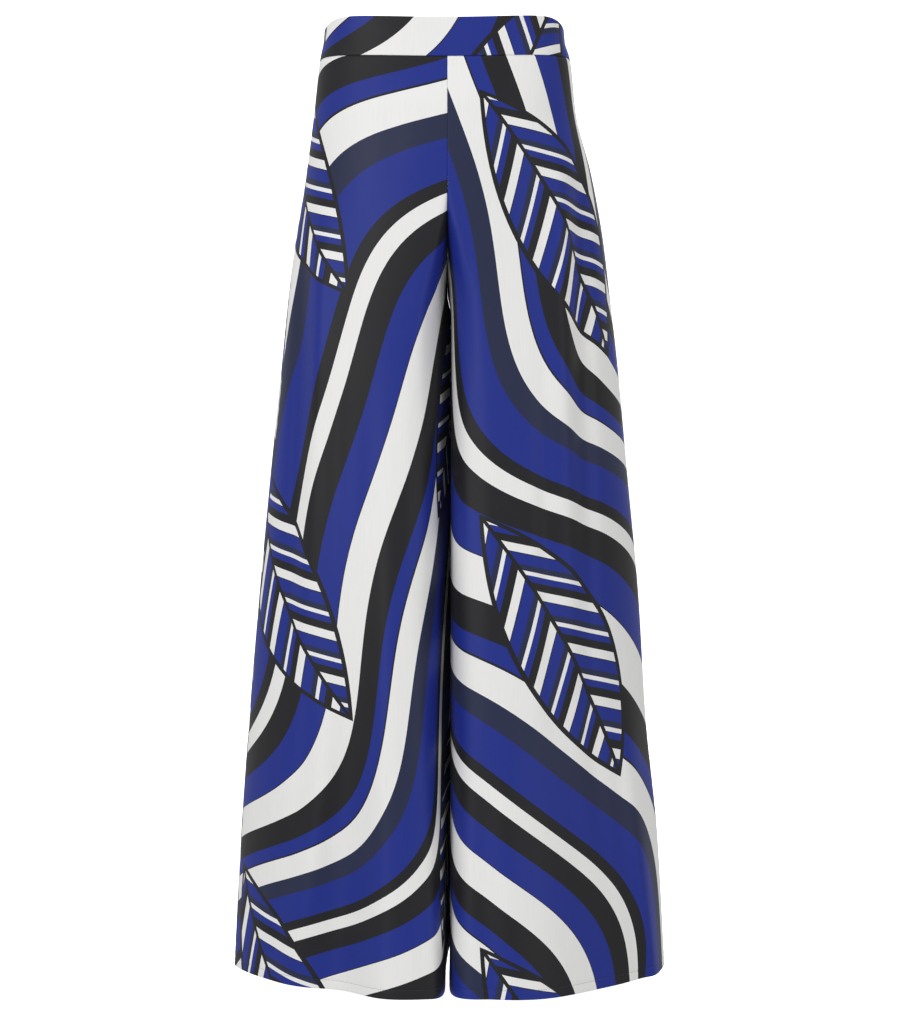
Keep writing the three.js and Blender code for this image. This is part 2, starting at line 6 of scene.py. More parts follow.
import bmesh
import bpy
import numpy as np
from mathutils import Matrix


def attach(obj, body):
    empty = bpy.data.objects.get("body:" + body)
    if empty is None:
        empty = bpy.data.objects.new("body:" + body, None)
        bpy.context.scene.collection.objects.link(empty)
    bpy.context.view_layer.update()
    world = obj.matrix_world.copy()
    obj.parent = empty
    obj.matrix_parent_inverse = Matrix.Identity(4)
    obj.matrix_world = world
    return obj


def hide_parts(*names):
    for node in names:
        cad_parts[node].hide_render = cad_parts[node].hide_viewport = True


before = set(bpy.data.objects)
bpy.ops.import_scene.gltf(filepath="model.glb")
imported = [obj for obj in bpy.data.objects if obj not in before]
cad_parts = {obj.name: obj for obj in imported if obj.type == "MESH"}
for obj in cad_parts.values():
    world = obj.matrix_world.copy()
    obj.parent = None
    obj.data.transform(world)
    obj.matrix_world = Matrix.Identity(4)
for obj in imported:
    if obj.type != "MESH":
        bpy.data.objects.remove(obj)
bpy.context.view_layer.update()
scene = bpy.context.scene
MM = 0.001


# The view. The camera stands level, 3 m in front of the wearer and half way down the pants, with a
# long lens, as in the photograph.
camera = bpy.data.objects.new("camera", bpy.data.cameras.new("camera"))
camera.location = (0.0029, -3.0, -0.526)
camera.rotation_euler = (math.pi / 2, 0, 0)
camera.data.lens = 92.62
camera.data.sensor_width = 36
scene.collection.objects.link(camera)
scene.camera = camera
scene.view_settings.view_transform = "Standard"


# The studio. A round pale floor curves up all round into a pale wall, so no corner or horizon shows
# from any side. It is a stage, and no part of the pants. Its glow doesn't reach them: the soft boxes
# and the air's even light do.
FLOOR_DROP = 1.072
STUDIO_RADIUS = 5.2
COVE = 1.4
WALL_TOP = 4.5


def grid_object(name, points, uv=None, wraps=False):
    """A mesh through rows by columns of points, with four-sided faces that point along fall x across.

    A wrapped grid's last column joins its first.
    """
    rows, columns = points.shape[:2]
    number = np.arange(rows * columns).reshape(rows, columns)
    if wraps:
        number = np.concatenate([number, number[:, :1]], axis=1)
    corners = [number[:-1, :-1], number[1:, :-1], number[1:, 1:], number[:-1, 1:]]
    faces = np.stack(corners, axis=-1).reshape(-1, 4)
    mesh = bpy.data.meshes.new(name)
    mesh.from_pydata(points.reshape(-1, 3).tolist(), [], faces.tolist())
    mesh.polygons.foreach_set("use_smooth", np.ones(len(faces), dtype=bool))
    if uv is not None:
        layer = mesh.uv_layers.new(name="cut")
        layer.data.foreach_set("uv", uv.reshape(-1, 2)[faces.reshape(-1)].reshape(-1))
    made = bpy.data.objects.new(name, mesh)
    scene.collection.objects.link(made)
    return made


def studio_profile():
    """Radius and height along the floor, round the cove's quarter circle and up the wall."""
    turn = np.linspace(0, math.pi / 2, 24)
    cove_radius = STUDIO_RADIUS - COVE + COVE * np.sin(turn)
    cove_height = -FLOOR_DROP + COVE - COVE * np.cos(turn)
    radius = np.concatenate([[0.001, 1, 2, 3], cove_radius, [STUDIO_RADIUS]])
    height = np.concatenate([[-FLOOR_DROP] * 4, cove_height, [WALL_TOP]])
    return radius, height


def studio_points():
    """The profile turned round the upright axis, from the wall's top to the floor's middle."""
    radius, height = studio_profile()
    turn = np.linspace(0, 2 * math.pi, 96, endpoint=False)
    around = np.stack([np.cos(turn), np.sin(turn)], axis=-1)
    flat = radius[::-1, None, None] * around
    upright = np.broadcast_to(height[::-1, None, None], flat.shape[:2] + (1,))
    return np.concatenate([flat, upright], axis=-1)


def new_material(name):
    """A material, its node tree and its Principled shader."""
    material = bpy.data.materials.new(name)
    material.use_nodes = True
    return material, material.node_tree, material.node_tree.nodes["Principled BSDF"]


studio = grid_object("studio", studio_points()[:, ::-1], wraps=True)
paper, _, paper_shader = new_material("studio paper")
paper_shader.inputs["Base Color"].default_value = (0.9, 0.9, 0.9, 1)
paper_shader.inputs["Roughness"].default_value = 0.9
paper_shader.inputs["Emission Color"].default_value = (1, 1, 1, 1)
paper_shader.inputs["Emission Strength"].default_value = 1.0
studio.data.materials.append(paper)
studio.visible_diffuse = False
studio.visible_glossy = False


def soft_light(name, place, aim, width, height, watts):
    """A large rectangular soft box at place, turned to face aim."""
    lamp = bpy.data.lights.new(name, "AREA")
    lamp.shape = "RECTANGLE"
    lamp.size = width
    lamp.size_y = height
    lamp.energy = watts
    box = bpy.data.objects.new(name, lamp)
    box.location = place
    toward = np.array(aim) - np.array(place)
    flat = math.hypot(toward[0], toward[1])
    tilt = math.atan2(flat, -toward[2])
    box.rotation_euler = (tilt, 0, math.atan2(toward[1], toward[0]) - math.pi / 2)
    scene.collection.objects.link(box)


soft_light("key light", (-2.6, -3.2, 1.0), (0, 0, -0.5), 1.8, 2.4, 80)
soft_light("fill light", (2.9, -2.9, 0.2), (0, 0, -0.6), 1.8, 2.4, 34)
soft_light("top light", (0.0, 0.3, 3.2), (0, 0, -0.5), 2.2, 2.2, 38)
soft_light("back light", (0.3, 3.6, 0.8), (0, 0, -0.5), 2.4, 2.4, 52)

world = bpy.data.worlds.new("studio air")
world.use_nodes = True
world.node_tree.nodes["Background"].inputs["Color"].default_value = (1, 1, 1, 1)
world.node_tree.nodes["Background"].inputs["Strength"].default_value = 0.54
scene.world = world


# The four leg panels. Each is one piece of printed silk twill, cut wide at the hem and sewn to the
# others at the side seams, the inseams and the centre seams, with its hem turned up once.
# A drop is a distance below the waistband's top edge. Widths are from the centre line to each side,
# depths from the side plane to the front and the back, all in millimetres.
OUTSEAM = 1080
BAND_HEIGHT = 45
SEAM_GAP = 0.04
CROTCH_DROP = 300
CROTCH_BACK = 11
FRONT_FORK_DROP = 170
BACK_FORK_DROP = 235
FORK_START_POWER = 3
FORK_END_POWER = 1.3
LEGS_APART_DROP = 400
SIDE_RISE = 7
RISE_ENDS_DROP = 240
CORNER_DIP = 11
CORNER_POWER = 14
HEM_SIDE_LIFT = 10
GAP_OPENS = 20
FACING_FADE = 0.35
INSEAM_BEND = 8
INSEAM_BEND_DEPTH = 50
INSEAM_BEND_WIDTH = 70
BEND_GROWN_DROP = 340
BEND_FADES_DROP = 1020
SECTIONS = [
    ("drop", "right", "left", "front", "back", "right_seam", "left_seam"),
    (0, 140.5, 133, 84, 84, 0, -27),
    (20, 142, 134.6, 87, 88, 0.5, -27),
    (45, 145.8, 140.2, 91, 95, 1, -27),
    (105, 152.6, 147, 106, 117, 4, -25),
    (170, 161.3, 164.5, 114, 131, 9, -21),
    (240, 173, 177.6, 116, 136, 15, -16),
    (310, 182, 186, 117, 134, 21, -12),
    (380, 189, 194, 119, 131, 26, -10),
    (515, 202.8, 206.2, 126, 130, 25, -8),
    (650, 215.2, 218.5, 134, 133, 18, -8),
    (790, 226.8, 226.8, 143, 138, 15, -8),
    (930, 236.5, 240.5, 153, 145, 11, -8),
    (1080, 244, 248.5, 165, 153, 8, -8),
]
CRESTS = [
    ("drop", "right_crest", "left_crest"),
    (0, 46, 56),
    (105, 46, 57),
    (240, 46, 58),
    (300, 46, 59),
    (380, 46, 60),
    (515, 46, 63),
    (650, 47, 66),
    (790, 47, 69),
    (930, 48, 78),
    (1080, 48, 90),
]
ROUNDING = [
    ("drop", "right_inner", "left_inner", "right_outer", "left_outer"),
    (0, 1.6, 1.8, 2.8, 3.1),
    (105, 1.6, 1.8, 2.5, 2.5),
    (240, 1.8, 2.0, 2.3, 2.3),
    (300, 2.3, 2.9, 2.2, 2.2),
    (380, 2.5, 3.6, 2.1, 2.1),
    (515, 2.5, 3.9, 2.0, 2.0),
    (650, 2.6, 4.1, 1.9, 1.85),
    (790, 2.9, 4.3, 1.8, 1.7),
    (930, 4, 5.4, 1.65, 1.6),
    (1080, 6.5, 7.5, 1.5, 1.5),
]
BACK_CREST = 72
INNER_BACK_POWER = 2.2
OUTER_BACK_POWER = 2.3
PARTING = [
    ("drop", "leg_gap", "right_inseam", "left_inseam"),
    (300, SEAM_GAP / 2, 0, 0),
    (340, 1, 14, 4),
    (430, 1.2, 36, 8),
    (560, 1.4, 36, 8),
    (750, 1.6, 18, 6),
    (1080, 2, 4, 4),
]
# The folds that the cloth falls in, then the smaller creases between them. Each runs down one face of
# one leg, from x at its first drop to hem_x at the hem, and stands out, or falls in if its out is
# negative, most at its full drop.
FOLDS = [
    ("leg", "face", "x", "hem_x", "first", "full", "last", "half", "out"),
    ("right", "front", 144, 199, 170, 330, 850, 17, 9),
    ("right", "front", 160, 215, 170, 330, 850, 12, -14),
    ("right", "front", 104, 120, 520, 1080, 1400, 34, -25),
    ("right", "front", 66, 74, 430, 760, 1400, 20, 6),
    ("left", "front", 129, 160, 100, 260, 880, 17, 9),
    ("left", "front", 147, 178, 100, 260, 880, 12, -13),
    ("left", "front", 200, 238, 660, 1080, 1400, 14, 22),
    ("left", "front", 120, 165, 560, 1080, 1500, 42, -11),
    ("right", "back", 40, 62, 330, 760, 1500, 24, 6),
    ("right", "back", 84, 112, 300, 700, 1500, 22, -8),
    ("right", "back", 128, 160, 210, 620, 1400, 22, 7),
    ("right", "back", 150, 196, 180, 480, 1200, 16, -7),
    ("left", "back", 46, 70, 340, 820, 1500, 26, 7),
    ("left", "back", 92, 122, 290, 640, 1500, 20, -8),
    ("left", "back", 134, 174, 220, 700, 1400, 22, 8),
    ("left", "back", 152, 208, 160, 420, 1100, 16, -7),
    ("right", "front", 34, 30, 300, 470, 820, 9, -2.2),
    ("right", "front", 20, 58, 236, 330, 520, 7, -1.6),
    ("right", "front", 84, 96, 330, 560, 900, 13, -2.4),
    ("right", "front", 120, 158, 260, 470, 760, 10, 2.2),
    ("right", "front", 128, 176, 700, 900, 1180, 12, 3.2),
    ("right", "front", 150, 204, 640, 860, 1250, 10, -3.5),
    ("right", "front", 30, 22, 760, 980, 1300, 11, -3),
    ("right", "front", 60, 40, 60, 120, 210, 13, -0.9),
    ("left", "front", 30, 34, 330, 520, 860, 10, -2),
    ("left", "front", 22, 66, 232, 315, 470, 7, -1.5),
    ("left", "front", 92, 112, 380, 640, 960, 12, 2.4),
    ("left", "front", 104, 132, 300, 520, 820, 9, -2.2),
    ("left", "front", 150, 196, 560, 800, 1120, 11, -3),
    ("left", "front", 60, 74, 700, 960, 1280, 14, 3.4),
    ("left", "front", 36, 44, 780, 1000, 1300, 10, -2.6),
    ("left", "front", 74, 60, 58, 115, 200, 12, -0.9),
    ("right", "back", 60, 88, 420, 700, 1100, 9, -2.4),
    ("right", "back", 24, 40, 250, 360, 620, 8, -2),
    ("right", "back", 108, 140, 380, 640, 1000, 9, -2.6),
    ("right", "back", 98, 64, 70, 150, 260, 12, -1.4),
    ("left", "back", 70, 96, 400, 660, 1080, 9, -2.4),
    ("left", "back", 24, 42, 252, 350, 600, 8, -2),
    ("left", "back", 116, 150, 360, 620, 980, 9, -2.6),
    ("left", "back", 92, 60, 70, 140, 250, 12, -1.4),
]
SIDE_OF = {"right": -1, "left": 1}
FACE_OF = {"front": -1, "back": 1}
QUARTER = math.pi / 2


def smoothstep(at, low, high):
    """0 below low and 1 above high, with 3t^2 - 2t^3 between them."""
    t = np.clip((at - low) / (high - low), 0, 1)
    return t * t * (3 - 2 * t)


def curves_of(table):
    """A curve against the drop for each of a table's columns, which never overshoots a row.

    Between two rows it is the cubic with those end values, and its slope at a row is the harmonic mean
    of the rises on both sides, or 0 where they change sign.
    """
    names, rows = table[0], np.array(table[1:], dtype=float)
    drops = rows[:, 0]

    def curve(values):
        rises = np.diff(values) / np.diff(drops)
        before = np.concatenate([rises[:1], rises])
        after = np.concatenate([rises, rises[-1:]])
        total = np.where(before * after > 0, before + after, 1)
        slopes = np.where(before * after > 0, 2 * before * after / total, 0)

        def at(drop):
            held = np.clip(drop, drops[0], drops[-1])
            i = np.clip(np.searchsorted(drops, held, side="right") - 1, 0, len(drops) - 2)
            span = drops[i + 1] - drops[i]
            t = (held - drops[i]) / span
            u = 1 - t
            ends = u * u * (1 + 2 * t) * values[i] + t * t * (1 + 2 * u) * values[i + 1]
            return ends + span * t * u * (u * slopes[i] - t * slopes[i + 1])

        return at

    return {name: curve(rows[:, k]) for k, name in enumerate(names) if k > 0}


size = {}
for table in (SECTIONS, CRESTS, ROUNDING, PARTING):
    size.update(curves_of(table))


def fork_share(drop, fork_drop):
    """How far a centre seam has turned in from the face to the crotch: 1 - (1 - t^start)^end, on a J."""
    t = np.clip((drop - fork_drop) / (CROTCH_DROP - fork_drop), 0, 1)
    return 1 - (1 - t**FORK_START_POWER) ** FORK_END_POWER


def ring_at(leg, drop):
    """The sizes of one leg's ring: four superellipse quarters round it.

    The inner quarters grow from nothing at the fork drops to full size where the legs are apart. The
    shares are the parts of a panel's width that lie on its inner quarter.
    """
    front, back, gap, width = (size[name](drop) for name in ("front", "back", "leg_gap", leg))
    inseam_y = CROTCH_BACK * (1 - smoothstep(drop, CROTCH_DROP, OUTSEAM))
    front_open = smoothstep(drop, FRONT_FORK_DROP, LEGS_APART_DROP)
    back_open = smoothstep(drop, BACK_FORK_DROP, LEGS_APART_DROP)
    front_crest = gap + (size[f"{leg}_crest"](drop) - gap) * front_open
    back_crest = gap + (BACK_CREST - gap) * back_open
    front_inner = np.hypot(front_crest - gap, (front + inseam_y) * front_open)
    back_inner = np.hypot(back_crest - gap, (back - inseam_y) * back_open)
    return {
        "front": front,
        "back": back,
        "gap": gap,
        "width": width,
        "front_crest": front_crest,
        "back_crest": back_crest,
        "front_share": front_inner / (front_inner + np.hypot(width - front_crest, front)),
        "back_share": back_inner / (back_inner + np.hypot(width - back_crest, back)),
        "inner_front": -front + (inseam_y + front) * fork_share(drop, FRONT_FORK_DROP),
        "inner_back": back + (inseam_y - back) * fork_share(drop, BACK_FORK_DROP),
        "inner_power": size[f"{leg}_inner"](drop),
        "outer_power": size[f"{leg}_outer"](drop),
    }


def fold_height(leg, face, x, drop, facing):
    """How far the folds stand out: a rise and fall along each, and exp(-(distance / half)^2) across."""
    total = np.zeros(np.broadcast(x, drop).shape)
    for fold_leg, fold_face, top_x, hem_x, first, full, last, half, out in FOLDS[1:]:
        if (fold_leg, fold_face) != (leg, face):
            continue
        run = np.clip((drop - first) / (OUTSEAM - first), 0, 1)
        line = top_x + (hem_x - top_x) * run * run
        grown = smoothstep(drop, first, full) * (1 - smoothstep(drop, full, last))
        total = total + out * grown * np.exp(-(((x - line) / half) ** 2))
    return total * smoothstep(facing, 0, FACING_FADE)


def inseam_bend(x, y, drop):
    """How far both legs' inner faces bow to the wearer's left, most half way through their depth.

    The bend is a bell shape of the depth and of the distance from the middle, so the legs stay apart.
    """
    middle = CROTCH_BACK * (1 - smoothstep(drop, CROTCH_DROP, OUTSEAM))
    grown = smoothstep(drop, CROTCH_DROP, BEND_GROWN_DROP)
    grown = grown * (1 - smoothstep(drop, BEND_FADES_DROP, OUTSEAM))
    across = np.exp(-(((y - middle) / INSEAM_BEND_DEPTH) ** 2) - (x / INSEAM_BEND_WIDTH) ** 2)
    return INSEAM_BEND * grown * across


def cloth_point(leg, angle, drop):
    """The cloth's outer point at an angle round a leg, from the front's inner end to the back's.

    x and y are the shares of the ring's superellipse quarter, (cos, sin) / (cos^p + sin^p)^(1/p), scaled
    by its width and depth. z falls with the drop, and the sides rise a little at both ends.
    """
    angle, drop = np.broadcast_arrays(angle, drop)
    ring = ring_at(leg, drop)
    turn = np.where(angle > 4 * QUARTER, angle - 4 * QUARTER, angle)
    is_front = turn < 2 * QUARTER
    is_inner = (turn < QUARTER) | (turn > 3 * QUARTER)
    way = np.where(is_front, -1.0, 1.0)
    depth = np.where(is_front, ring["front"], ring["back"])
    crest = np.where(is_front, ring["front_crest"], ring["back_crest"])
    inner = np.where(is_front, ring["inner_front"], ring["inner_back"])
    front_power = np.where(is_inner, ring["inner_power"], ring["outer_power"])
    back_power = np.where(is_inner, INNER_BACK_POWER, OUTER_BACK_POWER)
    power = np.where(is_front, front_power, back_power)
    across = np.abs(np.cos(turn))
    out = np.abs(np.sin(turn))
    reach = (across**power + out**power) ** (1 / power)
    across, out = across / reach, out / reach
    inner_x = crest - (crest - ring["gap"]) * across
    x = np.where(is_inner, inner_x, crest + (ring["width"] - crest) * across)
    start = np.where(is_inner, inner, 0.0)
    y = start + (way * depth - start) * out
    side = np.where(is_inner, 0.0, across)
    rise = SIDE_RISE * side**2 * (1 - smoothstep(drop, BAND_HEIGHT, RISE_ENDS_DROP))
    dip = CORNER_DIP * side**CORNER_POWER * (1 - smoothstep(drop, 0, BAND_HEIGHT))
    lift = HEM_SIDE_LIFT * side**2 * (drop / OUTSEAM) ** 2
    folds = np.where(
        is_front,
        fold_height(leg, "front", x, drop, out),
        fold_height(leg, "back", x, drop, out),
    )
    y = y + way * folds
    bent = SIDE_OF[leg] * x + inseam_bend(x, y, drop)
    return np.stack([bent, y, BAND_HEIGHT / 2 - drop + rise - dip + lift], axis=-1)


def panel_point(leg, face, u, drop):
    """A panel's outer point: u runs from 0 at its inner edge to 1 at its side seam.

    The angle goes evenly with u up to the leg's deepest line, and evenly again from there to the seam.
    """
    u, drop = np.broadcast_arrays(u, drop)
    ring = ring_at(leg, drop)
    is_front = face == "front"
    depth = ring[face]
    inward = ring["front"] + ring["inner_front"] if is_front else ring["back"] - ring["inner_back"]
    share = ring[f"{face}_share"]
    forward = size[f"{leg}_seam"](drop)
    seam = -forward / np.where(forward > 0, ring["front"], ring["back"])
    seam = seam + FACE_OF[face] * (SEAM_GAP / 2 / depth)
    parted = smoothstep(drop, CROTCH_DROP - GAP_OPENS, CROTCH_DROP)
    front_inward = np.maximum(ring["front"] + ring["inner_front"], 1)
    inseam = np.where(parted > 0, size[f"{leg}_inseam"](drop) / front_inward, 0)
    gap = parted * (SEAM_GAP / 2) / np.maximum(inward, 1)
    start = (inseam if is_front else -inseam) + gap
    end = 2 * QUARTER + (seam if is_front else -seam)
    inner = start + u / np.maximum(share, 1e-9) * (QUARTER - start)
    outer = QUARTER + (u - share) / (1 - share) * (end - QUARTER)
    turned = np.where(u < share, inner, outer)
    return cloth_point(leg, turned if is_front else 4 * QUARTER - turned, drop)


STEP_ACROSS = 0.002
STEP_DOWN = 0.6
ARC_SAMPLES = 361


def arcs_of(surface, ends, drops):
    """The length along the cloth from its first edge to each of many places across it, for each drop."""
    across = np.linspace(*ends, ARC_SAMPLES)
    points = surface(across[None, :], drops[:, None])
    steps = np.linalg.norm(np.diff(points, axis=1), axis=-1)
    return across, np.concatenate([np.zeros((len(drops), 1)), np.cumsum(steps, axis=1)], axis=1)


def laid_cloth(surface, ends, drops, lengths, depths, outward):
    """Points at lengths along the cloth from its first edge, moved in by depths along its normal."""
    across, arcs = arcs_of(surface, ends, drops)
    a = np.stack([np.interp(row, arc, across) for row, arc in zip(lengths, arcs)])
    drop = np.broadcast_to(drops[:, None], a.shape)
    low, high = np.maximum(a - STEP_ACROSS, ends[0]), np.minimum(a + STEP_ACROSS, ends[1])
    along = surface(high, drop) - surface(low, drop)
    fall = surface(a, drop + STEP_DOWN) - surface(a, np.maximum(drop - STEP_DOWN, 0))
    normal = np.cross(fall, along) * outward
    normal /= np.linalg.norm(normal, axis=-1, keepdims=True)
    return surface(a, drop) - normal * depths[..., None], normal


# A seam edge: the cloth turns in at the seam and its allowance is pressed back under its own panel.
# Each row is a place in the flat cut, from the seam line, the length from the seam and the depth.
SEAM_EDGE = [
    ("cut", "length", "depth"),
    (-9.7, 9.0, 1.2),
    (-5.7, 5.0, 1.2),
    (-2.4, 1.7, 1.2),
    (-1.29, 0.6, 1.2),
    (-0.81, 0.18, 1.02),
    (-0.34, 0, 0.6),
    (0.13, 0.18, 0.18),
    (0.6, 0.6, 0),
    (1.8, 1.8, 0),
    (3.6, 3.6, 0),
]
PAST_FOLD = -1  # cuts below this one lie in the allowance
TURNED_LENGTH = 0.6  # the least of an allowance that clipping leaves
PANEL_COLUMNS = 90
PUCKER = 0.22
PUCKER_PITCH = 19
PUCKER_DRIFT = 61  # over which the pitch wanders
PUCKER_REACH = 8
PUCKER_CLIP_POWER = 4  # how fast the pucker fades as the allowance is clipped, so the fork stays shut


def columns_of(free_columns):
    """Each column's share of the width, length and cut from that share, depth, and spare allowance.

    The columns are a seam edge, an even spread and a seam edge. The spare is what can be clipped off
    the first edge's allowance.
    """
    cut, length, depth = np.array(SEAM_EDGE[1:]).T
    share = np.linspace(0, 1, free_columns + 2)[1:-1]
    inner = (1 - 2 * share) * length[-1]
    shares = np.concatenate([np.zeros(len(cut)), share, np.ones(len(cut))])
    lengths = np.concatenate([length, inner, -length[::-1]])
    cuts = np.concatenate([cut, inner, -cut[::-1]])
    depths = np.concatenate([depth, np.zeros(free_columns), depth[::-1]])
    on_first_edge = np.arange(len(shares)) < len(cut)
    spare = np.where(on_first_edge & (cuts < PAST_FOLD), lengths - TURNED_LENGTH, 0)
    return shares, lengths, cuts, depths, spare


def cloth_grid(surface, ends, rows, free_columns, outward, grain_x, rolls, kept):
    """A cut piece's points and their places in the flat cut, in metres.

    rows holds a drop and a depth for each row, rolls how much of the seam edges' depth it has, and kept
    how much of its first edge's spare allowance. A place in the cut is the length along the row from
    the grain line, which hangs straight down at grain_x from the pants' middle, and the length down.
    """
    drops, row_depths = rows[:, 0], rows[:, 1]
    shares, lengths, cuts, edge_depths, spare = columns_of(free_columns)
    across, arcs = arcs_of(surface, ends, drops)
    places = np.abs(surface(across[None, :], drops[:, None])[..., 0]) * np.sign(across + 1e-9)
    grain = np.array([np.interp(grain_x, place, arc) for place, arc in zip(places, arcs)])[:, None]
    full = arcs[:, -1:]
    clipped = spare * (1 - kept[:, None])
    laid = shares * full + lengths - clipped
    near = np.minimum(laid, full - laid)
    wander = 2 * np.sin(drops / PUCKER_DRIFT)
    waves = PUCKER * np.sin(2 * math.pi * drops / PUCKER_PITCH + wander)[:, None]
    held_flat = np.where(laid < full / 2, 1 - kept[:, None] ** PUCKER_CLIP_POWER, 0)
    pucker = waves * (1 - held_flat) * np.exp(-((near / PUCKER_REACH) ** 2))
    depths = row_depths[:, None] + (edge_depths + pucker) * rolls[:, None]
    points, _ = laid_cloth(surface, ends, drops, laid, depths, outward)
    down = np.concatenate([[0], np.cumsum(np.linalg.norm(np.diff(rows, axis=0), axis=1))])
    cut = np.stack(np.broadcast_arrays(shares * full + cuts + clipped - grain, -down[:, None]), axis=-1)
    return points * MM, cut * MM


HEM_TURN = 10
HEM_ROLL = 0.6
STITCH_DENT = 0.3
# Drops and depths of a panel's rows: tucked up into the waistband, dented by the hem's stitches, and
# turned up inside the hem.
TUCK_ROWS = [
    (41, 0.95),
    (44, 0.95),
    (45, 0.95),
    (45.6, 0.75),
    (46.1, 0.45),
    (46.9, 0.18),
    (48, 0.03),
    (50, 0),
]
HEM_ROWS = [
    (1067, 0.02),
    (1068.8, 0.14),
    (OUTSEAM - HEM_TURN, STITCH_DENT),
    (1071.2, 0.14),
    (1073, 0.02),
    (1075.5, 0),
    (1078, 0),
]
TURN_STEPS = 7
UNDER_ROWS = [(1077, 1.2), (1073.5, 1.2), (OUTSEAM - HEM_TURN, 1.2)]
# The rows lie closest at the fork, where the centre seams turn in.
HIP_START, HIP_STEP = 53, 4.6
FORK_START, FORK_STEP = BACK_FORK_DROP - 5, 1.7
FORK_END = CROTCH_DROP + 30
LEG_ROWS = 148


def panel_rows():
    """Drops and depths down a panel: tucked into the band, down the leg, and turned up at the hem."""
    hip = np.arange(HIP_START, FORK_START, HIP_STEP)
    fork = np.arange(FORK_START, FORK_END, FORK_STEP)
    below = np.linspace(FORK_END + 1, OUTSEAM - HEM_TURN - 5, LEG_ROWS)
    leg = [(drop, 0) for drop in np.concatenate([hip, fork, below])]
    turn = np.linspace(0, math.pi, TURN_STEPS)
    turned = zip(OUTSEAM - HEM_ROLL + HEM_ROLL * np.sin(turn), HEM_ROLL * (1 - np.cos(turn)))
    return np.array(TUCK_ROWS + leg + HEM_ROWS + list(turned) + UNDER_ROWS, dtype=float)


def math_node(tree, operation, *values):
    """A Math node of numbers and other nodes' outputs, and its result."""
    node = tree.nodes.new("ShaderNodeMath")
    node.operation = operation
    for socket, value in zip(node.inputs, values):
        if isinstance(value, (int, float)):
            socket.default_value = value
        else:
            tree.links.new(value, socket)
    return node.outputs[0]


def bumped(tree, height, strength, distance, under=None):
    """The normal that a Bump node makes from a height, on top of the one under it."""
    bump = tree.nodes.new("ShaderNodeBump")
    bump.inputs["Strength"].default_value = strength
    bump.inputs["Distance"].default_value = distance
    tree.links.new(height, bump.inputs["Height"])
    if under is not None:
        tree.links.new(under, bump.inputs["Normal"])
    return bump.outputs[0]


def new_group(name, inputs, outputs):
    """An empty shader node group with named sockets, and its input and output nodes."""
    tree = bpy.data.node_groups.new(name, "ShaderNodeTree")
    for kind, sockets in (("INPUT", inputs), ("OUTPUT", outputs)):
        for socket_name, socket_type in sockets:
            tree.interface.new_socket(socket_name, in_out=kind, socket_type=socket_type)
    return tree, tree.nodes.new("NodeGroupInput"), tree.nodes.new("NodeGroupOutput")


def mixed(tree, factor, first, second):
    """A colour Mix node: first where the factor is 0 and second where it is 1."""
    node = tree.nodes.new("ShaderNodeMix")
    node.data_type = "RGBA"
    for socket, value in ((node.inputs[0], factor), (node.inputs[6], first), (node.inputs[7], second)):
        if isinstance(value, (int, float, tuple)):
            socket.default_value = value
        else:
            tree.links.new(value, socket)
    return node.outputs[2]


WHITE = (0.80, 0.795, 0.785, 1)
BLUE = (0.012, 0.026, 0.235, 1)
BLACK = (0.013, 0.013, 0.015, 1)
NAVY = (0.019, 0.024, 0.062, 1)
# The bands of the ground and of a leaf, each with its width in millimetres, which fill one repeat
GROUND_REPEAT = 0.300
GROUND_BANDS = [(WHITE, 40), (BLACK, 1.5), (BLUE, 36), (BLACK, 30), (WHITE, 18), (BLACK, 14)]
GROUND_BANDS += [(BLUE, 44), (NAVY, 26), (WHITE, 34), (BLACK, 1.5), (BLUE, 20), (BLACK, 35)]
LEAF_REPEAT = 0.0682
LEAF_BANDS = [(BLUE, 17), (BLACK, 1.2), (WHITE, 13), (BLACK, 12), (BLUE, 10), (WHITE, 6), (NAVY, 9)]
# The ground leans this far, in degrees. Each of its waves has a length, a start and a height.
GROUND_LEAN = 52
LONG_WAVE = (0.93, 0.4, 0.085)
SHORT_WAVE = (0.37, 2.1, 0.014)
WIDTH_WAVE = (0.71, 1.2, 0.030)
# The leaves stand one to a cell, turned by this many degrees to either side.
CELL_WIDTH, CELL_HEIGHT = 0.295, 0.470
LEAF_TURN = 31
LEAF_BEND = 0.55
LEAF_HALF_WIDTH, LEAF_HALF_LENGTH = 0.062, 0.172
LEAF_OUTLINE, LEAF_MIDRIB = 0.0055, 0.0022
CHEVRON_SLOPE = 0.95
MIDRIB_STEP = 0.031


def band_ramp(tree, bands, place):
    """Hard-edged bands of colour across one repeat: place is 0 at its start and 1 at its end."""
    ramp = tree.nodes.new("ShaderNodeValToRGB")
    ramp.color_ramp.interpolation = "CONSTANT"
    total = sum(width for _, width in bands)
    starts = np.cumsum([0] + [width for _, width in bands[:-1]]) / total
    elements = ramp.color_ramp.elements
    elements.remove(elements[1])
    elements[0].position, elements[0].color = 0, bands[0][0]
    for start, (colour, _) in zip(starts[1:], bands[1:]):
        elements.new(float(start)).color = colour
    tree.links.new(place, ramp.inputs[0])
    return ramp.outputs[0]


